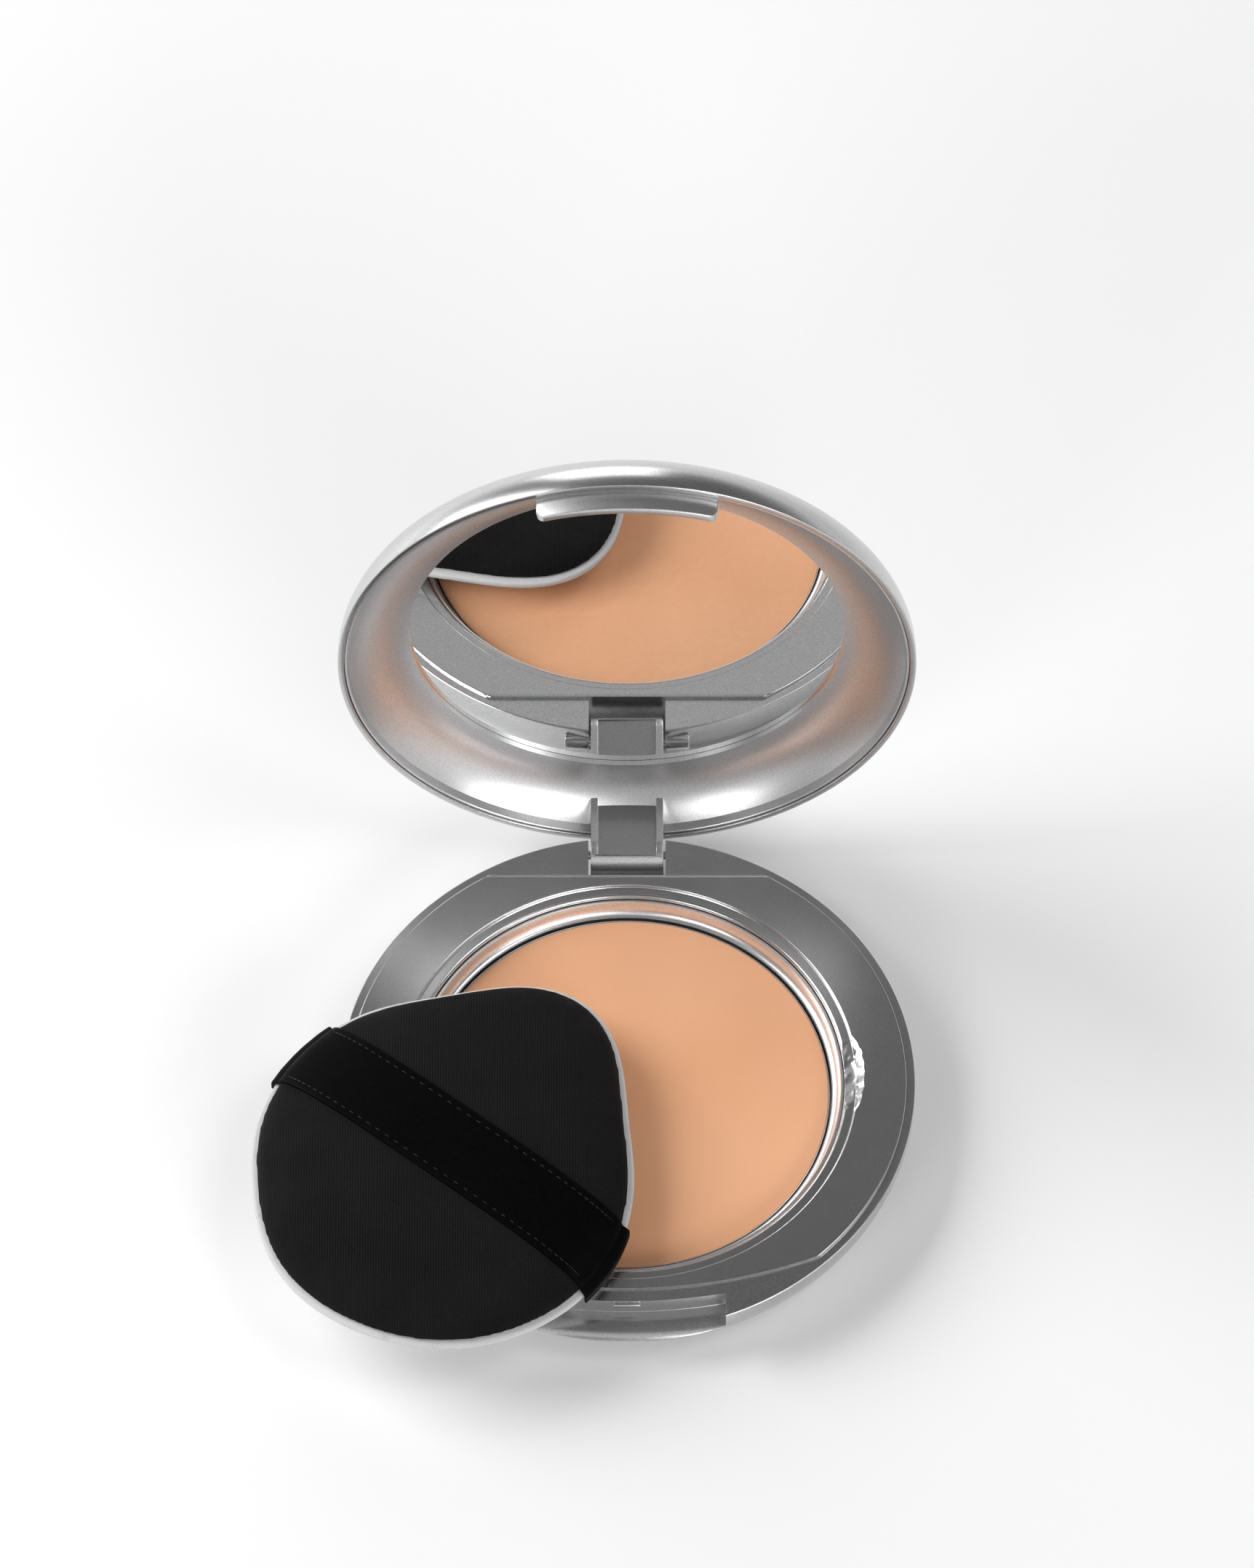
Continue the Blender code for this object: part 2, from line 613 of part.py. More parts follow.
def ribbon_end(side):
    """The ribbon's underside from the puff's centre to its turned-down end, as (distance, height)."""
    along = radians(RIBBON_DEGREES) + (0 if side > 0 else pi)
    edge = puff_edge(along) - PUFF_BACKING_INSET
    reach = ribbon_reach(side) + GAP
    path = []
    for step in range(RIBBON_STEPS + 1):
        share = step / RIBBON_STEPS * (1 - 0.6 / edge)
        path.append((side * share * edge, backing_rise(share) + GAP))
    path.append((side * (reach - 0.3), PUFF_SEAM_HEIGHT + 2 * GAP + 0.6))
    path.append((side * reach, PUFF_SEAM_HEIGHT + GAP))
    path.append((side * reach, PUFF_SEAM_HEIGHT - RIBBON_FOLD))
    return path


def make_ribbon(point):
    """The strap laid over the backing, with its ends turned down round the puff's edge."""
    satin = make_material("ribbon_satin", (0.01, 0.01, 0.012), 0.0, 0.35)
    along = radians(RIBBON_DEGREES)
    across = along + pi / 2
    under = list(reversed(ribbon_end(-1)))[:-1] + ribbon_end(1)
    rings = []
    for number, (distance, height) in enumerate(under):
        before = under[max(0, number - 1)]
        after = under[min(len(under) - 1, number + 1)]
        run, rise = after[0] - before[0], after[1] - before[1]
        length = sqrt(run * run + rise * rise)
        outer = (distance - rise / length * RIBBON_THICKNESS, height + run / length * RIBBON_THICKNESS)
        ring = []
        for side, (reach, z) in ((-1, (distance, height)), (1, (distance, height)), (1, outer), (-1, outer)):
            offset = RIBBON_OFFSET + side * RIBBON_WIDTH / 2
            x = PUFF_X + reach * cos(along) + offset * cos(across)
            y = PUFF_Y + reach * sin(along) + offset * sin(across)
            ring.append((x, y, z))
        rings.append(ring)
    stacked("puff_ribbon", rings, material=satin, origin=point)


def main():
    clear_scene()
    make_base_shell()
    make_base_deck()
    make_tray()
    make_pan_and_powder()
    make_hinge_pin()
    make_lid_shell()
    make_mirror_frame()
    make_mirror()
    make_puff()


main()
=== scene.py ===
from math import acos, asin, atan2, cos, degrees, pi, radians, sin, sqrt
import bpy
from mathutils import Matrix, Vector


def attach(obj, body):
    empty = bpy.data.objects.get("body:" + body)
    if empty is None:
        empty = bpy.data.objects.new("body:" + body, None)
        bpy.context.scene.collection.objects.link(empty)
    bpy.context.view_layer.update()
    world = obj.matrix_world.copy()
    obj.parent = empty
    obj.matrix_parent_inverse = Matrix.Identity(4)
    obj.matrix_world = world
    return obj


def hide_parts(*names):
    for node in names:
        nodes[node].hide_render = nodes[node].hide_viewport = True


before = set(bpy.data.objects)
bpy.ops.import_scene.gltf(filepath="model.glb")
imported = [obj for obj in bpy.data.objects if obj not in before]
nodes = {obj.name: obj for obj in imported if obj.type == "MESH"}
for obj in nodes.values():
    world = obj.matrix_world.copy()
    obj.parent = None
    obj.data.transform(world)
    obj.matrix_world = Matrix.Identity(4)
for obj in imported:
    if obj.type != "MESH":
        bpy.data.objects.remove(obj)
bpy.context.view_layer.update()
mm = 0.001

# shared by several pieces, in millimetres and degrees, the same as the frame's
case = {
    "radius": 37.5, "ledge": 7.9, "deckTop": 8.3, "lidRim": 8.2,
    "hingeY": 36.5, "hingeZ": 5.1, "openAngle": 94.5,
}
# points closer than this are one point, on a plain piece and on one that has been cut
mesh = {"weld": 0.0005, "weldCut": 0.004}


# small tools

def deselectAll():
    if bpy.context.mode != "OBJECT":
        bpy.ops.object.mode_set(mode="OBJECT")
    bpy.ops.object.select_all(action="DESELECT")


def pick(piece):
    deselectAll()
    piece.select_set(True)
    bpy.context.view_layer.objects.active = piece


def drawPath(name, points):
    # one vertex, extruded along the points
    deselectAll()
    bpy.ops.mesh.primitive_plane_add(size=mm, location=(0, 0, 0))
    piece = bpy.context.active_object
    piece.name = name
    piece.data.name = name
    bpy.ops.object.mode_set(mode="EDIT")
    bpy.ops.mesh.select_all(action="SELECT")
    bpy.ops.mesh.merge(type="CENTER")
    last = Vector(points[0]) * mm
    bpy.ops.transform.translate(value=last)
    for point in points[1:]:
        here = Vector(point) * mm
        bpy.ops.mesh.extrude_region_move(TRANSFORM_OT_translate={"value": here - last})
        last = here
    return piece


def faceOut():
    bpy.ops.mesh.select_all(action="SELECT")
    bpy.ops.mesh.normals_make_consistent(inside=False)
    bpy.ops.object.mode_set(mode="OBJECT")


def tidyMesh(threshold=mesh["weld"]):
    bpy.ops.mesh.select_all(action="SELECT")
    bpy.ops.mesh.remove_doubles(threshold=threshold * mm)
    faceOut()


def settle(piece):
    pick(piece)
    bpy.ops.object.transform_apply(location=True, rotation=True, scale=True)


def turnAbout(piece, pivot, angle, axis):
    there, turn = Matrix.Translation(pivot), Matrix.Rotation(radians(angle), 4, axis)
    piece.matrix_world = there @ turn @ Matrix.Translation(-pivot) @ piece.matrix_world
    settle(piece)


def spinPiece(name, profile, steps=288, turn=360, center=(0, 0), start=0):
    # a side profile of (radius, height) turned clockwise about an upright axis, from start
    path = [(center[0] + r, center[1], z) for r, z in profile]
    piece = drawPath(name, path)
    bpy.ops.mesh.select_all(action="SELECT")
    middle = Vector((center[0], center[1], 0)) * mm
    bpy.ops.mesh.spin(steps=steps, angle=radians(turn), center=middle, axis=(0, 0, 1))
    tidyMesh()
    if start:
        turnAbout(piece, middle, start, "Z")
    return piece


def slabPiece(name, outline, low, high, axis="Z"):
    # an outline filled and pushed out along one axis
    if axis == "Z":
        path, push = [(a, b, low) for a, b in outline], (0, 0, (high - low) * mm)
    else:
        path, push = [(low, a, b) for a, b in outline], ((high - low) * mm, 0, 0)
    piece = drawPath(name, path + path[:1])
    bpy.ops.mesh.select_all(action="SELECT")
    bpy.ops.mesh.remove_doubles(threshold=mesh["weld"] * mm)
    bpy.ops.mesh.edge_face_add()
    bpy.ops.mesh.extrude_region_move(TRANSFORM_OT_translate={"value": push})
    tidyMesh()
    return piece


def applyModifier(piece, kind, **values):
    pick(piece)
    change = piece.modifiers.new(kind.lower(), kind)
    for key, value in values.items():
        setattr(change, key, value)
    bpy.ops.object.modifier_apply(modifier=change.name)


def boolean(piece, other, operation="DIFFERENCE"):
    applyModifier(piece, "BOOLEAN", operation=operation, solver="EXACT", object=other)
    bpy.data.objects.remove(other)


def roundEdges(piece, width, segments=3, angle=35):
    applyModifier(piece, "BEVEL", width=width * mm, segments=segments, limit_method="ANGLE",
                  angle_limit=radians(angle), use_clamp_overlap=True, harden_normals=False)


def smooth(piece, angle=30):
    pick(piece)
    bpy.ops.object.shade_smooth_by_angle(angle=radians(angle))


def evenShading(piece, angle=30):
    # smooth curves and truly flat flats on a piece that has been cut
    smooth(piece, angle)
    applyModifier(piece, "WEIGHTED_NORMAL", mode="FACE_AREA", weight=100, keep_sharp=True)


def dressCuts(piece, width, segments, angle, shading):
    # a piece that has been cut: weld the slivers, round the edges, even the shading
    pick(piece)
    bpy.ops.object.mode_set(mode="EDIT")
    tidyMesh(mesh["weldCut"])
    roundEdges(piece, width, segments, angle)
    evenShading(piece, shading)


def joinPieces(pieces):
    deselectAll()
    for piece in pieces:
        piece.select_set(True)
    bpy.context.view_layer.objects.active = pieces[0]
    bpy.ops.object.join()
    return pieces[0]


def openLid(piece):
    # from where it lies with the lid shut to where it stands with the lid open
    pin = Vector((0, case["hingeY"], case["hingeZ"])) * mm
    turnAbout(piece, pin, -case["openAngle"], "X")


def arcPoints(center, radii, first, last, steps):
    points = []
    for n in range(steps + 1):
        a = radians(first + (last - first) * n / steps)
        points.append((center[0] + radii[0] * cos(a), center[1] + radii[1] * sin(a)))
    return points


# materials

def newMaterial(name):
    material = bpy.data.materials.new(name)
    material.use_nodes = True
    tree = material.node_tree
    return material, tree, tree.nodes["Principled BSDF"]


def addNode(tree, kind, **values):
    node = tree.nodes.new(kind)
    for key, value in values.items():
        if key in node.inputs:
            node.inputs[key].default_value = value
        else:
            setattr(node, key, value)
    return node


def setInputs(node, values):
    for key, value in values.items():
        node.inputs[key].default_value = value


def wire(tree, source, node, key):
    tree.links.new(source, node.inputs[key])


def objectCoordinates(tree, turn=0.0):
    coordinates = addNode(tree, "ShaderNodeTexCoord")
    mapping = addNode(tree, "ShaderNodeMapping")
    mapping.inputs["Rotation"].default_value = (0, 0, radians(turn))
    wire(tree, coordinates.outputs["Object"], mapping, "Vector")
    return mapping.outputs["Vector"]


def noiseAt(tree, place, scale, detail, roughness=0.5):
    node = addNode(tree, "ShaderNodeTexNoise", Scale=scale, Detail=detail, Roughness=roughness)
    wire(tree, place, node, "Vector")
    return node.outputs["Fac"]


def wavesAt(tree, place, scale, distortion, detail, detailScale=1.0):
    node = addNode(tree, "ShaderNodeTexWave", Scale=scale, Distortion=distortion, Detail=detail)
    setInputs(node, {"Detail Scale": detailScale})
    wire(tree, place, node, "Vector")
    return node.outputs["Fac"]


def mathNode(tree, operation, first, second, third=None):
    # each value is a socket or a number
    node = addNode(tree, "ShaderNodeMath", operation=operation)
    for slot, value in enumerate((first, second, third)):
        if isinstance(value, float):
            node.inputs[slot].default_value = value
        elif value:
            tree.links.new(value, node.inputs[slot])
    return node.outputs["Value"]


def rangeNode(tree, source, low, high, toLow, toHigh):
    node = addNode(tree, "ShaderNodeMapRange")
    setInputs(node, {"From Min": low, "From Max": high, "To Min": toLow, "To Max": toHigh})
    wire(tree, source, node, "Value")
    return node.outputs["Result"]


def rampNode(tree, source, stops):
    node = addNode(tree, "ShaderNodeValToRGB")
    ramp = node.color_ramp
    while len(ramp.elements) < len(stops):
        ramp.elements.new(0.5)
    for element, (place, color) in zip(ramp.elements, stops):
        element.position = place
        element.color = (*color, 1)
    wire(tree, source, node, "Fac")
    return node.outputs["Color"]


def bumpNode(tree, source, strength, distance, before=None):
    node = addNode(tree, "ShaderNodeBump")
    setInputs(node, {"Strength": strength, "Distance": distance * mm})
    wire(tree, source, node, "Height")
    if before:
        wire(tree, before, node, "Normal")
    return node.outputs["Normal"]


def grey(tone):
    return (tone, tone, tone)


satin = {
    "grainPerMetre": 4600, "grainDepth": 0.008, "grainStrength": 0.05,
    "cloudPerMetre": 90, "roughness": 0.25, "roughnessSpread": 0.03,
    "dark": (0.86, 0.86, 0.87), "light": (1.1, 1.1, 1.11),
}


def satinSilver(name, tone=0.62, roughness=satin["roughness"], grain=1.0):
    # metallised plastic with a fine orange-peel grain and faint handling marks
    material, tree, shader = newMaterial(name)
    place = objectCoordinates(tree)
    fine = noiseAt(tree, place, satin["grainPerMetre"], 3.0, 0.6)
    cloud = noiseAt(tree, place, satin["cloudPerMetre"], 4.0, 0.55)
    half = satin["roughnessSpread"] / 2
    rough = rangeNode(tree, cloud, 0.3, 0.7, roughness - half, roughness + half)
    dark, light = (tuple(tone * share for share in satin[key]) for key in ("dark", "light"))
    wire(tree, rough, shader, "Roughness")
    wire(tree, rampNode(tree, fine, [(0.3, dark), (0.7, light)]), shader, "Base Color")
    bump = bumpNode(tree, fine, satin["grainStrength"] * grain, satin["grainDepth"])
    wire(tree, bump, shader, "Normal")
    setInputs(shader, {"Metallic": 1.0})
    return material


powderLook = {
    "color": (0.83, 0.44, 0.25), "dark": (0.77, 0.385, 0.205),
    "grainPerMetre": 5200, "wavePerMetre": 45, "speckPerMetre": 1800.0,
}


def pressedPowderMaterial():
    material, tree, shader = newMaterial("pressedPowder")
    place = objectCoordinates(tree)
    fine = noiseAt(tree, place, powderLook["grainPerMetre"], 4.0, 0.7)
    wave = noiseAt(tree, place, powderLook["wavePerMetre"], 2.0, 0.4)
    speck = addNode(tree, "ShaderNodeTexVoronoi", Scale=powderLook["speckPerMetre"])
    wire(tree, place, speck, "Vector")
    mix = mathNode(tree, "MULTIPLY_ADD", fine, 0.45, wave)
    tint = rampNode(tree, mix, [(0.5, powderLook["dark"]), (0.95, powderLook["color"])])
    wire(tree, tint, shader, "Base Color")
    bump = bumpNode(tree, wave, 0.35, 0.25)
    bump = bumpNode(tree, speck.outputs["Distance"], 0.12, 0.04, bump)
    wire(tree, bumpNode(tree, fine, 0.4, 0.03, bump), shader, "Normal")
    setInputs(shader, {"Roughness": 0.85, "Specular IOR Level": 0.25, "Sheen Weight": 0.15})
    return material


twill = {
    "ribPerMetre": 900, "threadPerMetre": 1500, "threadTurn": 62.0,
    "fuzzPerMetre": 2600.0, "patchPerMetre": 110.0,
    "dark": (0.0008, 0.0007, 0.0008), "light": (0.011, 0.0095, 0.0104),
}


def twillMaterial():
    # fine ribs crossed by the thread that makes them
    material, tree, shader = newMaterial("blackTwill")
    place = objectCoordinates(tree)
    ribs = wavesAt(tree, place, twill["ribPerMetre"], 0.35, 2.0, 1.5)
    crossing = objectCoordinates(tree, twill["threadTurn"])
    threads = wavesAt(tree, crossing, twill["threadPerMetre"], 0.3, 1.0)
    fuzz = noiseAt(tree, place, twill["fuzzPerMetre"], 4.0, 0.65)
    patch = noiseAt(tree, place, twill["patchPerMetre"], 3.0)
    weave = mathNode(tree, "MULTIPLY", ribs, threads)
    shade = mathNode(tree, "MULTIPLY_ADD", fuzz, 0.6, weave)
    tint = rampNode(tree, shade, [(0.2, twill["dark"]), (0.95, twill["light"])])
    wire(tree, tint, shader, "Base Color")
    wire(tree, rangeNode(tree, patch, 0.3, 0.7, 0.72, 0.9), shader, "Roughness")
    bump = bumpNode(tree, weave, 0.55, 0.06)
    wire(tree, bumpNode(tree, fuzz, 0.25, 0.03, bump), shader, "Normal")
    setInputs(shader, {"Specular IOR Level": 0.12, "Sheen Weight": 0.02, "Sheen Roughness": 0.5})
    return material


ribbonCloth = {
    "ribPerMetre": 1300, "turn": 38.2, "creasePerMetre": 260.0, "fuzzPerMetre": 3500.0,
    "dark": (0.0003, 0.0003, 0.0004), "light": (0.0013, 0.0013, 0.0015),
}


def ribbonMaterial():
    # close black grosgrain, its ribs running across the strap
    material, tree, shader = newMaterial("blackRibbon")
    along = objectCoordinates(tree, ribbonCloth["turn"])
    ribs = wavesAt(tree, along, ribbonCloth["ribPerMetre"], 0.2, 1.0)
    crease = noiseAt(tree, along, ribbonCloth["creasePerMetre"], 3.0)
    fuzz = noiseAt(tree, along, ribbonCloth["fuzzPerMetre"], 3.0)
    tint = rampNode(tree, fuzz, [(0.35, ribbonCloth["dark"]), (0.75, ribbonCloth["light"])])
    wire(tree, tint, shader, "Base Color")
    wire(tree, rangeNode(tree, fuzz, 0.3, 0.7, 0.42, 0.62), shader, "Roughness")
    bump = bumpNode(tree, crease, 0.2, 0.1)
    wire(tree, bumpNode(tree, ribs, 0.12, 0.02, bump), shader, "Normal")
    setInputs(shader, {"Specular IOR Level": 0.05})
    return material


def threadMaterial():
    # waxed black thread, glossy enough to sparkle
    material, tree, shader = newMaterial("blackThread")
    fuzz = noiseAt(tree, objectCoordinates(tree), 5000.0, 3.0)
    tint = rampNode(tree, fuzz, [(0.4, grey(0.003)), (0.8, grey(0.035))])
    wire(tree, tint, shader, "Base Color")
    wire(tree, bumpNode(tree, fuzz, 0.4, 0.03), shader, "Normal")
    setInputs(shader, {"Roughness": 0.35, "Specular IOR Level": 0.3})
    return material


velour = {
    "dark": (0.44, 0.44, 0.445), "light": (0.6, 0.6, 0.605),
    "pilePerMetre": 3200, "clumpPerMetre": 420.0,
}


def velourMaterial():
    # short brushed pile in small clumps
    material, tree, shader = newMaterial("greyVelour")
    place = objectCoordinates(tree)
    pile = noiseAt(tree, place, velour["pilePerMetre"], 5.0, 0.75)
    clump = noiseAt(tree, place, velour["clumpPerMetre"], 3.0)
    mix = mathNode(tree, "MULTIPLY_ADD", pile, 1.2, clump)
    tint = rampNode(tree, mix, [(0.7, velour["dark"]), (1.0, velour["light"])])
    wire(tree, tint, shader, "Base Color")
    bump = bumpNode(tree, clump, 0.3, 0.15)
    wire(tree, bumpNode(tree, pile, 0.8, 0.08, bump), shader, "Normal")
    setInputs(shader, {"Roughness": 0.95, "Specular IOR Level": 0.1,
                       "Sheen Weight": 0.35, "Sheen Roughness": 0.4})
    return material


def mirrorMaterial():
    # silvered glass with the faintest dust
    material, tree, shader = newMaterial("silveredGlass")
    dust = noiseAt(tree, objectCoordinates(tree), 900.0, 5.0, 0.7)
    tint = rampNode(tree, dust, [(0.35, (0.9, 0.905, 0.9)), (0.8, (0.96, 0.965, 0.96))])
    wire(tree, tint, shader, "Base Color")
    wire(tree, rangeNode(tree, dust, 0.45, 0.8, 0.0, 0.02), shader, "Roughness")
    setInputs(shader, {"Metallic": 1.0})
    return material


def plainPlastic(name, color, roughness=0.6, scale=2500.0):
    material, tree, shader = newMaterial(name)
    fine = noiseAt(tree, objectCoordinates(tree), scale, 3.0)
    dark = tuple(value * 0.88 for value in color)
    wire(tree, rampNode(tree, fine, [(0.3, dark), (0.7, color)]), shader, "Base Color")
    wire(tree, bumpNode(tree, fine, 0.2, 0.03), shader, "Normal")
    setInputs(shader, {"Roughness": roughness})
    return material


def cover(piece, material):
    piece.data.materials.clear()
    piece.data.materials.append(material)


def finishPiece(piece, material, body, slot, *replaced):
    cover(piece, material)
    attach(piece, body)
    if replaced:
        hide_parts(*replaced)


silverShell = satinSilver("satinSilverShell")
silverDeck = satinSilver("satinSilverDeck")
silverTray = satinSilver("satinSilverTray", 0.9, 0.3, 0.6)
silverLid = satinSilver("satinSilverLid")
silverFrame = satinSilver("satinSilverFrame", 0.66, 0.33)


# base shell

shell = {
    "cornerWidth": 6.45, "cornerHeight": 6.9, "edge": 0.2, "innerRadius": 31.2, "floor": 1.2,
    "mouth": 30.0, "plate": 0.9,
    "notchHalf": 12.7, "notchCurve": 66.7, "notchCenter": 33.6, "notchFillet": 0.08,
    "notchStep": 1.1, "notchBrow": (2.9, 1.95), "notchFloor": 5.2, "notchLow": 2.6,
    "notchTop": 9.4, "notchBeyond": 6, "notchSweep": 30,
    "hingeHalf": 5.1, "hingeFront": 31.4, "hingeBack": 42, "hingeFloor": 1.6, "hingeTop": 10,
    "earRadius": 1.5, "earWidth": 3.2, "earGap": 0.01, "earEdge": 0.15,
    "beadWidth": 3.4, "beadDepth": 0.8, "beadHeight": 0.55, "beadAt": 7.2,
    "beadForward": 0.02, "beadEdge": 0.14,
}
finger = {
    "place": (27.3, 0.7, 9.5), "size": (4.4, 9.0, 2.1), "ripple": 0.28, "rippleSize": 1.5,
}


def latchCutter():
    # the curved, hollowed face of the latch notch, as the solid that is taken away
    out, floor = shell["notchCurve"], shell["notchFloor"]
    fillet, brow = shell["notchFillet"], shell["notchBrow"]
    low, top, beyond = shell["notchLow"], shell["notchTop"], out + shell["notchBeyond"]
    step = out + shell["notchStep"]
    face = [(out, top)]
    face += arcPoints((out + fillet, floor + fillet), (fillet, fillet), 180, 262, 8)
    face += arcPoints((step, floor - brow[1]), brow, 88, 4, 16)
    face += [(step + brow[0], low), (beyond, low), (beyond, top)]
    sweep, center = shell["notchSweep"], (0, shell["notchCenter"])
    cutter = spinPiece("latchCutter", face + face[:1], steps=60, turn=sweep, center=center,
                       start=-90 + sweep / 2)
    pick(cutter)
    bpy.ops.object.mode_set(mode="EDIT")
    for side in (-1, 1):
        bpy.ops.mesh.select_all(action="SELECT")
        bpy.ops.mesh.bisect(
            plane_co=(side * shell["notchHalf"] * mm, 0, 0), plane_no=(side, 0, 0),
            use_fill=True, clear_outer=True, threshold=1e-7)
    faceOut()
    return cutter


def fingerCutter():
    # a scoop for the fingertip, its surface rippled a little
    deselectAll()
    bpy.ops.mesh.primitive_uv_sphere_add(
        segments=96, ring_count=64, radius=mm,
        location=Vector(finger["place"]) * mm, scale=finger["size"])
    cutter = bpy.context.active_object
    settle(cutter)
    ripples = bpy.data.textures.new("fingerRipples", "CLOUDS")
    ripples.noise_scale = finger["rippleSize"] * mm
    applyModifier(cutter, "DISPLACE", texture=ripples, strength=finger["ripple"] * mm,
                  mid_level=0.5)
    return cutter


def makeEar(side):
    # a lug beside the hinge notch, on the side given as -1 or 1
    radius, half = shell["earRadius"], shell["hingeHalf"]
    ring = arcPoints((case["hingeY"], case["hingeZ"]), (radius, radius), 0, 354, 59)
    first, last = side * (half + shell["earGap"]), side * (half + shell["earWidth"])
    ear = slabPiece("ear", ring, min(first, last), max(first, last), axis="X")
    roundEdges(ear, shell["earEdge"])
    return ear


def makeShell():
    width, height, e = shell["cornerWidth"], shell["cornerHeight"], shell["edge"]
    corner = arcPoints((case["radius"] - width, height), (width, height), -90, 0, 26)
    edge = arcPoints((case["radius"] - e, case["ledge"] - e), (e, e), 0, 90, 4)
    low = case["ledge"] - shell["plate"]
    inside = [(shell["mouth"], case["ledge"]), (shell["mouth"], low), (shell["innerRadius"], low),
              (shell["innerRadius"], shell["floor"]), (0, shell["floor"])]
    piece = spinPiece("caseShell", [(0, 0)] + corner + edge + inside)
    boolean(piece, latchCutter())
    half, front, back = shell["hingeHalf"], shell["hingeFront"], shell["hingeBack"]
    notch = [(-half, front), (half, front), (half, back), (-half, back)]
    boolean(piece, slabPiece("hingeCutter", notch, shell["hingeFloor"], shell["hingeTop"]))
    for side in (-1, 1):
        boolean(piece, makeEar(side), "UNION")
    boolean(piece, fingerCutter())
    dressCuts(piece, 0.16, 3, 50, 32)
    finishPiece(piece, silverShell, "base", "shell_silver", "base_shell")
    makeBead()


def makeBead():
    # the small raised catch on the notch's wall
    deselectAll()
    y = shell["notchCenter"] - shell["notchCurve"]
    bpy.ops.mesh.primitive_cube_add(
        size=1, location=(0, (y + shell["beadForward"]) * mm, shell["beadAt"] * mm),
        scale=(shell["beadWidth"] * mm, shell["beadDepth"] * mm, shell["beadHeight"] * mm))
    bead = bpy.context.active_object
    bead.name = "catchBead"
    settle(bead)
    roundEdges(bead, shell["beadEdge"], 3)
    smooth(bead, 40)
    finishPiece(bead, silverShell, "base", "shell_silver")


# deck

deck = {
    "radius": 36.4, "back": 31.4, "frontRadius": 65.0, "frontCenter": 33.6, "well": 29.8,
    "step": 7.8, "stepEdge": 0.08, "lipRadius": 28.3, "lip": 0.5, "under": 7.91, "lipLow": 6.9,
    "skirt": 0.15, "edge": 0.28, "lineInset": 0.34, "lineDepth": 0.13, "lineAbove": 0.01,
    "cutLow": 7.5, "cutTop": 9, "cutWide": 60, "cutOut": 95,
}


def makeDeck():
    top, e, lip = case["deckTop"], deck["edge"], deck["lip"]
    bevel, skirt = deck["stepEdge"], deck["well"] + deck["skirt"]
    outer = arcPoints((deck["radius"] - e, top - e), (e, e), 0, 90, 3)
    inner = arcPoints((deck["well"] + e, top - e), (e, e), 90, 180, 3)
    curl = arcPoints((deck["lipRadius"] + lip, deck["step"] - lip), (lip, lip), 90, 180, 8)
    profile = [(deck["radius"], deck["under"])] + outer + inner
    profile += [(deck["well"], deck["step"] + bevel), (deck["well"] - bevel, deck["step"])] + curl
    profile += [(deck["lipRadius"], deck["lipLow"]), (skirt, deck["lipLow"])]
    profile += [(skirt, deck["under"])]
    piece = spinPiece("deckPlate", profile + profile[:1])
    low, high, wide, out = deck["cutLow"], deck["cutTop"], deck["cutWide"], deck["cutOut"]
    back = [(-wide, deck["back"]), (wide, deck["back"]), (wide, wide), (-wide, wide)]
    boolean(piece, slabPiece("backCutter", back, low, high))
    # a fine scribed line just inside the straight edge
    at, reach = deck["back"] - deck["lineInset"], deck["lineDepth"]
    above = top + deck["lineAbove"]
    line = [(at - reach, above), (at, top - reach), (at + reach, above)]
    boolean(piece, slabPiece("lineCutter", line, -wide, wide, axis="X"))
    curve, center = deck["frontRadius"], (0, deck["frontCenter"])
    ring = [(curve, low), (curve, high), (out, high), (out, low)]
    boolean(piece, spinPiece("frontCutter", ring + ring[:1], center=center, steps=720))
    boolean(piece, fingerCutter())
    dressCuts(piece, 0.16, 3, 50, 32)
    finishPiece(piece, silverDeck, "base", "deck_silver", "base_deck")


# tray, pan and powder

well = {
    "trayRadius": 28.22, "trayTop": 7.25, "trayLow": 4.2, "trayInside": 26.7, "trayEdge": 0.1,
    "trayBevel": 0.08, "trayLand": 1.2, "coveLow": 5.2, "coveWidth": 1.12,
    "panRadius": 26.4, "panWall": 0.13, "panLow": 3.2,
    "powderTop": 4.9, "powderLow": 3.6, "powderGap": 0.02,
}


def makeTray():
    outer, inner = well["trayRadius"], well["trayInside"]
    top, low = well["trayTop"], well["trayLow"]
    edge = top - well["trayEdge"]
    cove = arcPoints((inner, edge), (well["coveWidth"], edge - well["coveLow"]), 0, -90, 14)
    profile = [(outer, low), (outer, edge), (outer - well["trayBevel"], top)]
    profile += [(inner + well["trayLand"], top)] + cove + [(inner, low)]
    piece = spinPiece("trayRing", profile + profile[:1])
    smooth(piece, 40)
    finishPiece(piece, silverTray, "base", "tray_silver", "powder_tray")


def makePan():
    r, w, top, low = well["panRadius"], well["panWall"], well["powderTop"], well["panLow"]
    profile = [(r, low), (r, top + 0.02), (r - 0.05, top + 0.07), (r - w + 0.03, top + 0.07),
               (r - w, top + 0.03), (r - w, low)]
    piece = spinPiece("panRim", profile + profile[:1])
    smooth(piece, 40)
    aluminium = satinSilver("panAluminium", 0.78, 0.3)
    finishPiece(piece, aluminium, "base", "pan_aluminium", "powder_pan")


def makePowder():
    r = well["panRadius"] - well["panWall"] - well["powderGap"]
    top, low = well["powderTop"], well["powderLow"]
    profile = [(0, low), (r, low), (r, top - 0.12), (r - 0.04, top - 0.03), (r - 0.14, top)]
    profile += [(r * n / 12, top) for n in range(11, -1, -1)]
    piece = spinPiece("powderCake", profile, steps=192)
    smooth(piece, 40)
    finishPiece(piece, pressedPowderMaterial(), "base", "powder", "pressed_powder")


# lid

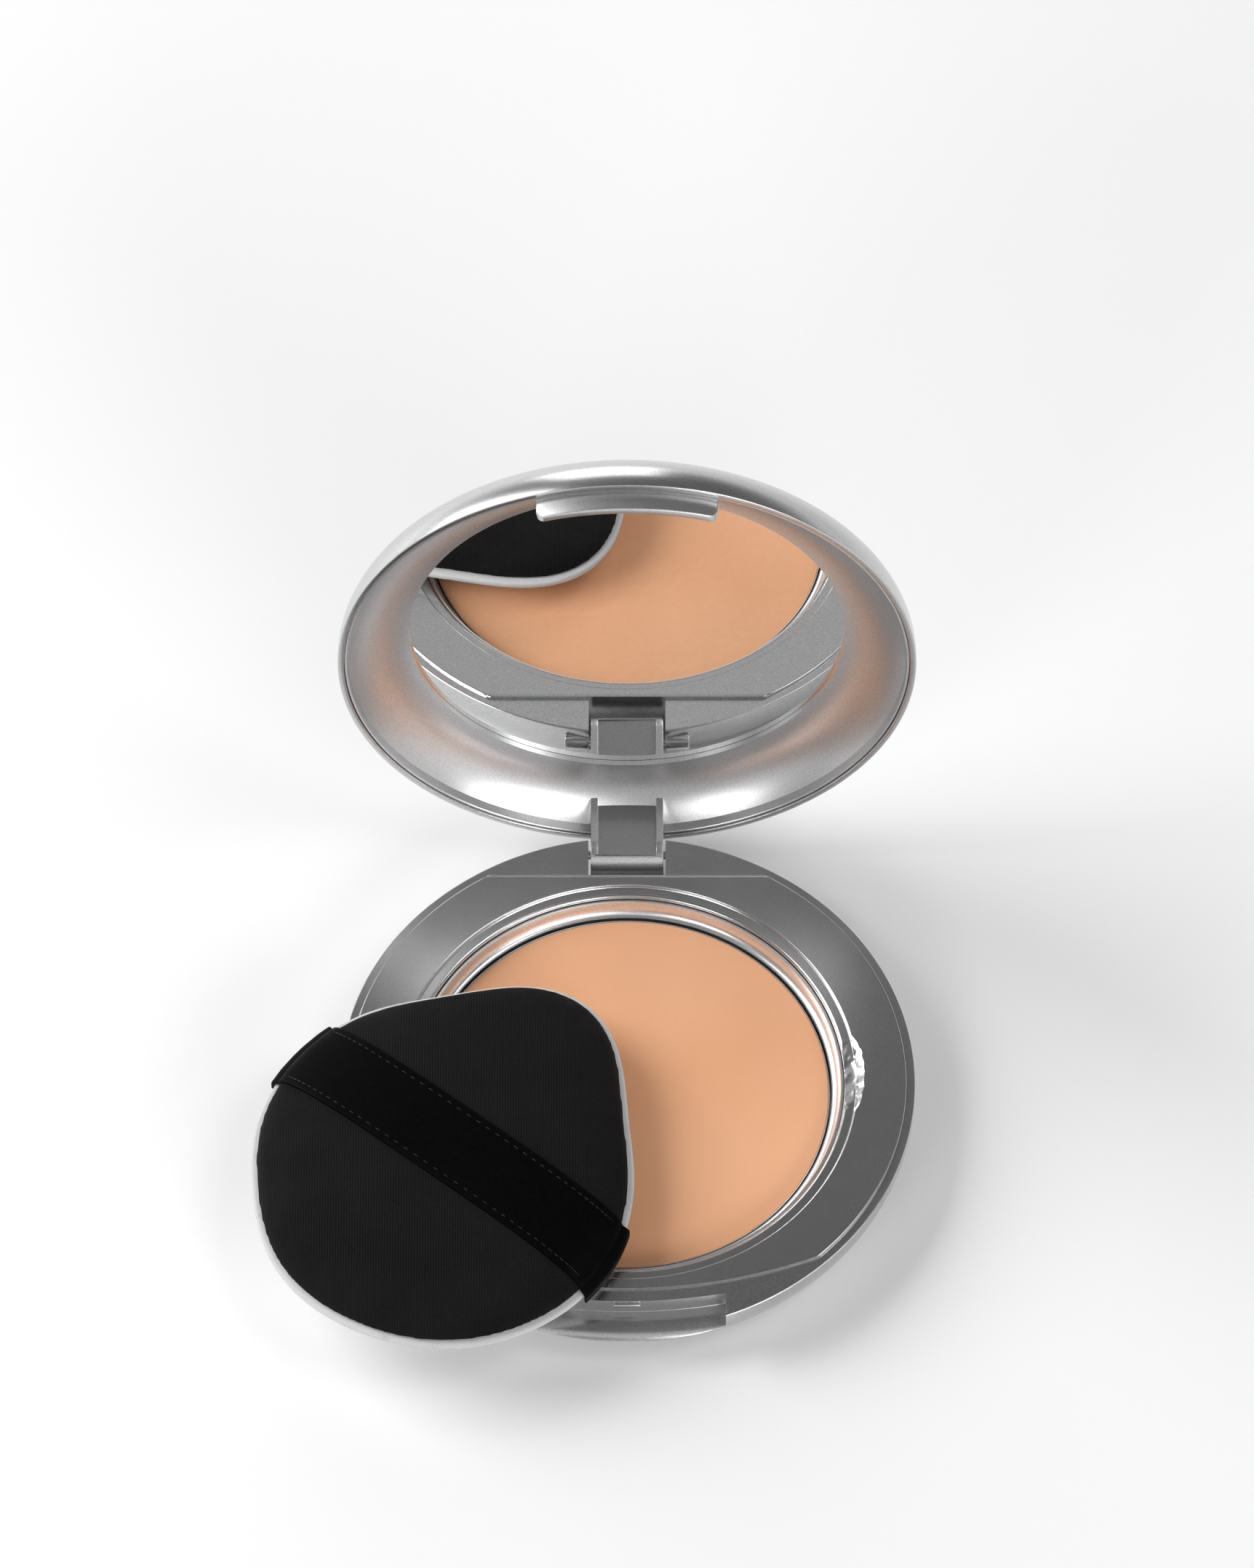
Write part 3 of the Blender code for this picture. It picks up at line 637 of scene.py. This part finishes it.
lid = {
    "band": 1.0, "cornerWidth": 9.0, "cornerHeight": 7.5, "crown": 0.4, "crownSteps": 8,
    "wall": 1.1, "rimWall": 0.8, "edge": 0.14,
    "opening": 28.3, "mirrorDepth": 6.4, "mirrorGap": 0.3, "lip": 0.5, "setback": 1.6,
    "frameEdge": 36.25, "frameLip": 0.37, "frameSteps": 32, "frameBack": 29.6, "cove": 2.2,
    "armHalf": 4.8, "armRadius": 3.2, "armBack": 1.5, "armFoot": 35.5,
    "pocketBorder": 0.95, "pocketDepth": 0.9,
    "tongueHalf": 11.6, "tongueLength": 2.8, "tongueThickness": 1.1, "tongueCorner": 1.1,
}


def makeLidShell():
    rim, wide, tall, wall = case["lidRim"], lid["cornerWidth"], lid["cornerHeight"], lid["wall"]
    flat = case["radius"] - wide
    center = (flat, rim + lid["band"])
    outerTop = rim + lid["band"] + tall
    innerTop = outerTop - wall
    crown = []
    for n in range(1, lid["crownSteps"] + 1):
        share = 1 - n / lid["crownSteps"]
        crown.append((flat * share, lid["crown"] * (1 - share ** 2)))
    outside = arcPoints(center, (wide, tall), 0, 90, 32) + [(r, outerTop + z) for r, z in crown]
    inside = [(r, innerTop + z) for r, z in reversed(crown)]
    inside += arcPoints(center, (wide - wall, tall - wall), 90, 0, 16)
    mouth, e = case["radius"] - lid["rimWall"], lid["edge"]
    rimPath = [(mouth, rim + lid["band"])] + arcPoints((mouth + e, rim + e), (e, e), 180, 270, 3)
    rimPath += arcPoints((case["radius"] - e, rim + e), (e, e), -90, 0, 4)
    piece = spinPiece("lidShell", inside + rimPath + outside)
    openLid(piece)
    smooth(piece, 32)
    finishPiece(piece, silverLid, "lid", "lid_silver", "lid_shell")


def frameProfile():
    # a lip at the rim, then a cove that levels out at the mirror, then the hidden back
    rim, edge, opening = case["lidRim"], lid["frameEdge"], lid["opening"]
    drop = lid["mirrorDepth"] - lid["mirrorGap"] - lid["lip"] - lid["setback"]
    lipOut = edge + lid["frameLip"]
    front = [(lipOut, rim + 0.9), (lipOut, rim + 0.32), (lipOut - 0.07, rim + 0.25),
             (edge + 0.07, rim + 0.25), (edge, rim + 0.32)]
    for n in range(lid["frameSteps"] + 1):
        share = n / lid["frameSteps"]
        slope = 1 - (1 - share) ** lid["cove"]
        front.append((edge + (opening - edge) * share, rim + lid["setback"] + drop * slope))
    back, inner = rim + lid["mirrorDepth"] - 0.04, lid["frameBack"]
    flat = case["radius"] - lid["cornerWidth"]
    wide, tall = (lid[key] - lid["wall"] - 0.05 for key in ("cornerWidth", "cornerHeight"))
    first = degrees(acos((inner - flat) / wide))
    last = degrees(acos((edge + 0.04 - flat) / wide))
    hidden = arcPoints((flat, rim + lid["band"]), (wide, tall), first, last, 12)
    hidden += [(edge + 0.04, rim + 0.9)]
    return front + [(opening, back), (inner, back)] + hidden


def makeFrame():
    profile = frameProfile()
    ring = spinPiece("mirrorFrame", profile + profile[:1])
    smooth(ring, 32)
    arm = makeArm()
    tongue = makeTongue()
    piece = joinPieces([ring, arm, tongue])
    openLid(piece)
    finishPiece(piece, silverFrame, "lid", "frame_silver", "mirror_frame")
    # the floor of the arm's pocket gets a darker copy of the same silver: painted shade in the
    # recess
    piece.data.materials.append(satinSilver("satinSilverPocketShade", 0.44, 0.3))
    half = lid["armHalf"] - lid["pocketBorder"]
    floor = case["hingeZ"] + lid["armRadius"] - lid["pocketDepth"]
    for polygon in piece.data.polygons:
        x, y, z = polygon.center / mm
        # faces that get the painted shade: the pocket's upward-facing floor
        inShadedPocket = abs(x) < half and abs(z - floor) < 0.35 and 34 < y < 43
        if inShadedPocket and polygon.normal.z > 0.8:
            polygon.material_index = 1


def makeArm():
    # the block that turns on the pin, with a shallow pocket in its face; the pin's bore is
    # hidden and isn't drawn, so the pin's mesh runs through the arm's
    y, z, r = case["hingeY"], case["hingeZ"], lid["armRadius"]
    rim, behind, foot = case["lidRim"], lid["armBack"], lid["armFoot"]
    below = -degrees(atan2(sqrt(r * r - behind ** 2), behind))
    outline = arcPoints((y, z), (r, r), -180, below, 40)
    outline += [(y + behind, rim - 0.3), (foot, rim - 0.3), (foot, rim + 2.4), (y - r, rim + 4.2)]
    arm = slabPiece("hingeArm", outline, -lid["armHalf"], lid["armHalf"], axis="X")
    half = lid["armHalf"] - lid["pocketBorder"]
    near, far = y - r - 3, y - r + lid["pocketDepth"]
    low, high = z - r * 0.6, rim + 5
    pocket = [(near, low), (far, low), (far, high), (near, high)]
    boolean(arm, slabPiece("pocketCutter", pocket, -half, half, axis="X"))
    dressCuts(arm, 0.22, 4, 40, 40)
    return arm


def makeTongue():
    # the curved catch under the lid's front, with its lower corners rounded off
    outer = lid["frameEdge"] - 0.02
    inner = outer - lid["tongueThickness"]
    low = case["lidRim"] - lid["tongueLength"]
    high = case["lidRim"] + lid["setback"] + 0.4
    half, corner = lid["tongueHalf"], lid["tongueCorner"]
    reach = degrees(asin(half / outer))
    section = [(outer, low), (outer, high), (inner, high), (inner, low)]
    tongue = spinPiece("tongue", section + section[:1], steps=120, turn=2 * reach,
                       start=-90 + reach)
    pick(tongue)
    bpy.ops.object.mode_set(mode="EDIT")
    bpy.ops.mesh.select_all(action="DESELECT")
    bpy.ops.mesh.select_non_manifold()
    bpy.ops.mesh.edge_face_add()
    tidyMesh()
    for vertex in tongue.data.vertices:
        past = abs(vertex.co.x) / mm - (half * 0.985 - corner)
        if vertex.co.z < (low + 0.01) * mm and past > 0:
            rise = corner - sqrt(max(0.0, corner ** 2 - min(past, corner) ** 2))
            vertex.co.z += rise * mm
    roundEdges(tongue, 0.2, 4, 50)
    smooth(tongue, 40)
    return tongue


# puff

puff = {
    "center": (-23.1, -14.2), "radius": 26.3,
    # how many times each wave goes round the edge, its size and its turn in degrees
    "waves": ((2, 1.46, 68.0), (3, 0.94, 56.0), (4, 0.82, 53.0),
              (5, 0.39, -16.0), (6, 0.24, -8.0), (7, 0.15, 6.6)),
    "bottom": 8.6, "seam": 10.6, "top": 14.2, "backingInset": 0.75, "seamBand": 0.5,
    "backingRings": 22, "voxel": 0.5, "cap": 0.35, "frames": 20,
}
puffCloth = {
    "mass": 0.0004, "tension_stiffness": 6, "compression_stiffness": 6, "shear_stiffness": 3,
    "bending_stiffness": 0.02, "use_pressure": True, "uniform_pressure_force": 4.0, "quality": 4,
}
strap = {
    "turn": -38.2, "width": 10.7, "offset": 0.9, "thickness": 0.34, "lift": 0.06,
    "full": 1.13, "down": 14.5, "proud": 0.95, "proudRate": 30, "wave": 0.035,
    "rows": 150, "columns": 20,
    "seamInset": 0.9, "stitch": (0.34, 0.07, 0.06), "seamReach": 0.84, "seamStitches": 46,
    "endReach": 0.845, "endStitches": 9,
}


def puffEdge(angle):
    waves = puff["waves"]
    return puff["radius"] + sum(size * cos(n * (angle - radians(turn))) for n, size, turn in waves)


def puffRise(share):
    low = puff["seam"] + puff["seamBand"]
    return low + (puff["top"] - low) * sqrt(max(0.0, 1 - share ** 5))


def puffPoint(angle, reach, height):
    middle = puff["center"]
    return Vector((middle[0] + reach * cos(angle), middle[1] + reach * sin(angle), height))


def puffPiece(name, rings, points=240):
    # a filled outline pushed out ring by ring: each ring is (share of the edge, inset, height)
    deselectAll()
    bpy.ops.mesh.primitive_circle_add(vertices=points, radius=puff["radius"] * mm,
                                      fill_type="NGON", location=(0, 0, 0))
    piece = bpy.context.active_object
    piece.name = name
    piece.data.name = name
    bpy.ops.object.mode_set(mode="EDIT")
    for _ in range(1, len(rings)):
        bpy.ops.mesh.extrude_region_move(TRANSFORM_OT_translate={"value": (0, 0, mm)})
    bpy.ops.object.mode_set(mode="OBJECT")
    for vertex in piece.data.vertices:
        share, inset, height = rings[round(vertex.co.z / mm)]
        angle = atan2(vertex.co.y, vertex.co.x)
        vertex.co = puffPoint(angle, puffEdge(angle) * share - inset, height) * mm
    pick(piece)
    bpy.ops.object.mode_set(mode="EDIT")
    tidyMesh()
    return piece


def swell(piece, pinned):
    # cloth blown up gently from inside and held at its sewn edge; a point that the cloth
    # moves further than the cap is brought back to it
    pick(piece)
    piece.data.remesh_voxel_size = puff["voxel"] * mm
    bpy.ops.object.voxel_remesh()
    start = [vertex.co.copy() for vertex in piece.data.vertices]
    seam = piece.vertex_groups.new(name="seam")
    seam.add([n for n, point in enumerate(start) if point.z < pinned * mm], 1.0, "REPLACE")
    cloth = piece.modifiers.new("cloth", "CLOTH")
    for key, value in puffCloth.items():
        setattr(cloth.settings, key, value)
    cloth.settings.vertex_group_mass = seam.name
    cloth.settings.effector_weights.gravity = 0
    cloth.collision_settings.use_collision = False
    scene = bpy.context.scene
    for number in range(1, puff["frames"] + 1):
        scene.frame_set(number)
    shaped = piece.evaluated_get(bpy.context.evaluated_depsgraph_get())
    moved = [vertex.co.copy() for vertex in shaped.data.vertices]
    piece.modifiers.remove(cloth)
    scene.frame_set(1)
    furthest, cap = 0, puff["cap"]
    for vertex, first, last in zip(piece.data.vertices, start, moved):
        step = last - first
        furthest = max(furthest, step.length)
        if step.length > cap * mm:
            step *= cap * mm / step.length
        vertex.co = first + step
    piece.vertex_groups.clear()
    print(piece.name, "cloth moved by up to", round(furthest / mm, 3), "mm, brought back to", cap)
    applyModifier(piece, "SUBSURF", levels=1, render_levels=1)


def makePuffFace():
    low, seam = puff["bottom"], puff["seam"]
    rings = [
        (0.02, 0, low), (0.4, 0, low), (1, 3.5, low), (1, 1.9, low + 0.05),
        (1, 0.95, low + 0.3), (1, 0.35, low + 0.75), (1, 0.08, low + 1.25),
        (1, 0.0, low + 1.6), (1, 0.08, seam - 0.15), (1, 0.35, seam), (1, 1.4, seam + 0.05),
        (1, 4.0, seam - 0.1), (0.4, 0, seam - 0.2), (0.02, 0, seam - 0.2),
    ]
    piece = puffPiece("puffFace", rings)
    smooth(piece, 60)
    finishPiece(piece, velourMaterial(), "puff", "puff_velour", "puff_face")


def makePuffBacking():
    inset = puff["backingInset"]
    seam = puff["seam"] + 0.1
    rings = [(0.02, 0, seam), (0.5, 0, seam), (1, inset + 0.5, seam),
             (1, inset + 0.1, seam + 0.08), (1, inset - 0.05, seam + 0.3)]
    for n in range(puff["backingRings"]):
        share = 1 - n / puff["backingRings"]
        share = 1 - (1 - share) ** 1.35
        rings.append((share, inset * share, puffRise(share)))
    rings.append((0.02, 0, puffRise(0)))
    piece = puffPiece("puffBacking", rings)
    swell(piece, puff["seam"] + puff["seamBand"])
    smooth(piece, 60)
    finishPiece(piece, twillMaterial(), "puff", "puff_twill", "puff_backing", "puff_core")


def strapOffset(along, across):
    # from along and across the strap to right and back of the puff's middle
    turn = radians(strap["turn"])
    return along * cos(turn) - across * sin(turn), along * sin(turn) + across * cos(turn)


def edgeAlong(across, side):
    # how far from the middle the strap's line meets the puff's edge
    low, high = 10.0, 40.0
    for _ in range(30):
        middle = (low + high) / 2
        x, y = strapOffset(side * middle, across)
        if sqrt(x * x + y * y) < puffEdge(atan2(y, x)) - puff["backingInset"]:
            low = middle
        else:
            high = middle
    return low


def strapPoint(along, across):
    # along from -1 to 1, with the last part folded down over the edge; across in millimetres
    side = 1 if along >= 0 else -1
    t = abs(along) * strap["full"]
    top = edgeAlong(across, side) * sin(min(t, 1) * pi / 2)
    x, y = strapOffset(side * top, across)
    angle = atan2(y, x)
    reach = sqrt(x * x + y * y)
    height = puffRise(min(1, reach / (puffEdge(angle) - puff["backingInset"])))
    if t > 1:
        reach += min(1, (t - 1) * strap["proudRate"]) * strap["proud"]
        height -= (t - 1) * strap["down"]
    else:
        # the ribbon lies on the swelled backing, found from above
        above = puffPoint(angle, reach, 30) * mm
        hit, where, _, _ = bpy.data.objects["puffBacking"].ray_cast(above, Vector((0, 0, -1)))
        height = max(height, where.z / mm) if hit else height
    wave = strap["wave"] * sin(across * 2.3 + along * 3) * cos(along * 9 + across * 0.5)
    return puffPoint(angle, reach, height + strap["lift"] + wave)


def makeStrap():
    deselectAll()
    bpy.ops.mesh.primitive_grid_add(x_subdivisions=strap["rows"], y_subdivisions=strap["columns"],
                                    size=2, location=(0, 0, 0))
    piece = bpy.context.active_object
    piece.name = "puffStrap"
    half = strap["width"] / 2
    for vertex in piece.data.vertices:
        vertex.co = strapPoint(vertex.co.x, strap["offset"] + vertex.co.y * half) * mm
    pick(piece)
    bpy.ops.object.mode_set(mode="EDIT")
    faceOut()
    if sum(polygon.normal.z for polygon in piece.data.polygons) < 0:
        piece.data.flip_normals()
    applyModifier(piece, "SOLIDIFY", thickness=strap["thickness"] * mm, offset=1)
    roundEdges(piece, 0.07, 2, 60)
    smooth(piece, 50)
    finishPiece(piece, ribbonMaterial(), "puff", "ribbon_satin", "puff_ribbon")
    makeStitches()


def makeStitches():
    # short threads along both sides of the strap and across its ends
    half, middle = strap["width"] / 2 - strap["seamInset"], strap["offset"]
    reach, last, lastEnd = strap["seamReach"], strap["seamStitches"] - 1, strap["endStitches"] - 1
    places = []
    for across in (-half, half):
        for n in range(last + 1):
            along = -reach + 2 * reach * n / last
            places.append((strapPoint(along, middle + across),
                           strapPoint(along + 0.004, middle + across)))
    for along in (-strap["endReach"], strap["endReach"]):
        for n in range(lastEnd + 1):
            across = -half + 2 * half * n / lastEnd
            places.append((strapPoint(along, middle + across - 0.2),
                           strapPoint(along, middle + across + 0.2)))
    stitches = []
    for start, end in places:
        deselectAll()
        bpy.ops.mesh.primitive_uv_sphere_add(segments=8, ring_count=6, radius=mm,
                                             location=(0, 0, 0), scale=strap["stitch"])
        stitch = bpy.context.active_object
        settle(stitch)
        turn = (end - start).normalized().to_track_quat("X", "Z").to_matrix().to_4x4()
        onTop = start + Vector((0, 0, strap["thickness"]))
        stitch.matrix_world = Matrix.Translation(onTop * mm) @ turn
        settle(stitch)
        stitches.append(stitch)
    piece = joinPieces(stitches)
    piece.name = "strapStitches"
    smooth(piece, 60)
    finishPiece(piece, threadMaterial(), "puff", "ribbon_satin")


# floor, lights, camera

stageLook = {
    "floorTone": 0.9, "size": 1.6, "drop": 0.0002,
    # the surroundings' brightness by height, which the metal reflects
    "sky": ((0.0, 0.82), (0.1, 0.7), (0.28, 0.24), (0.5, 0.13), (1.0, 0.13)),
}


def makeStage():
    deselectAll()
    bpy.ops.mesh.primitive_plane_add(size=stageLook["size"], location=(0, 0, -stageLook["drop"]))
    floor = bpy.context.active_object
    floor.name = "studioFloor"
    material, tree, shader = newMaterial("paleFloor")
    noise = noiseAt(tree, objectCoordinates(tree), 3.0, 2.0)
    tone = stageLook["floorTone"]
    tint = rampNode(tree, noise, [(0.3, grey(tone)), (0.7, grey(tone * 1.01))])
    wire(tree, tint, shader, "Base Color")
    setInputs(shader, {"Roughness": 0.7, "Specular IOR Level": 0.2})
    floor.data.materials.append(material)
    world = bpy.data.worlds.new("studio")
    bpy.context.scene.world = world
    world.use_nodes = True
    tree = world.node_tree
    direction = addNode(tree, "ShaderNodeTexCoord")
    split = addNode(tree, "ShaderNodeSeparateXYZ")
    wire(tree, direction.outputs["Generated"], split, "Vector")
    sky = rampNode(tree, split.outputs["Z"], [(at, grey(tone)) for at, tone in stageLook["sky"]])
    wire(tree, sky, tree.nodes["Background"], "Color")


lights = {
    "keyLeft": {
        "place": (-1.03, 0.42, 0.76), "aim": (0, 0, 0.02), "size": (0.92, 0.92), "power": 18.0},
    "fillRight": {
        "place": (0.8, -0.1, 1.3), "aim": (0, 0, 0.02), "size": (0.6, 0.6), "power": 3.5},
    "frontLeft": {
        "place": (-0.6, -0.95, 0.62), "aim": (0, 0, 0.03), "size": (0.4, 0.26), "power": 2.3},
    "frontRight": {
        "place": (0.6, -0.98, 0.6), "aim": (0, 0, 0.03), "size": (0.8, 0.3), "power": 5.6},
    "frontTop": {
        "place": (0.0, -0.9, 1.0), "aim": (0, 0, 0.03), "size": (1.2, 0.6), "power": 0.9},
    "backPanel": {
        "place": (-0.13, 1.25, 0.5), "aim": (0, 0, 0.05), "size": (0.62, 0.72), "power": 2.8},
}


def makeLights():
    for name, values in lights.items():
        data = bpy.data.lights.new(name, "AREA")
        data.shape = "RECTANGLE"
        data.size, data.size_y = values["size"]
        data.energy = values["power"]
        lamp = bpy.data.objects.new(name, data)
        bpy.context.scene.collection.objects.link(lamp)
        place = Vector(values["place"])
        lamp.location = place
        lamp.rotation_euler = (Vector(values["aim"]) - place).to_track_quat("-Z", "Y").to_euler()


# degrees, millimetres and pixels, and metres for farthest
view = {
    "elevation": 57.22, "distance": 1406.5, "aimY": 50.98,
    "focalPixels": 14502.0, "imageWidth": 1724.0, "sensor": 36, "farthest": 20,
}


def makeCamera():
    data = bpy.data.cameras.new("camera")
    data.sensor_fit = "HORIZONTAL"
    data.sensor_width = view["sensor"]
    data.lens = view["focalPixels"] / view["imageWidth"] * view["sensor"]
    data.clip_end = view["farthest"]
    camera = bpy.data.objects.new("camera", data)
    bpy.context.scene.collection.objects.link(camera)
    tilt, away = radians(view["elevation"]), view["distance"]
    camera.location = Vector((0, view["aimY"] - away * cos(tilt), away * sin(tilt))) * mm
    camera.rotation_euler = (pi / 2 - tilt, 0, 0)
    bpy.context.scene.camera = camera


bpy.context.scene.view_settings.view_transform = "Standard"
makeCamera()
makeStage()
makeLights()
print("stage, lights and camera done")
makeShell()
print("base shell done")
makeDeck()
makeTray()
makePan()
makePowder()
print("deck, tray, pan and powder done")
makeLidShell()
makeFrame()
print("lid done")
makePuffFace()
makePuffBacking()
makeStrap()
print("puff done")
for name, material in (
    ("mirror", mirrorMaterial()),
    ("hinge_pin", satinSilver("pinSteel", 0.55, 0.2)),
    ("pan_pad", plainPlastic("gluePad", (0.75, 0.72, 0.6))),
    ("mirror_tape", plainPlastic("foamTape", (0.8, 0.8, 0.78), 0.8)),
):
    cover(nodes[name], material)
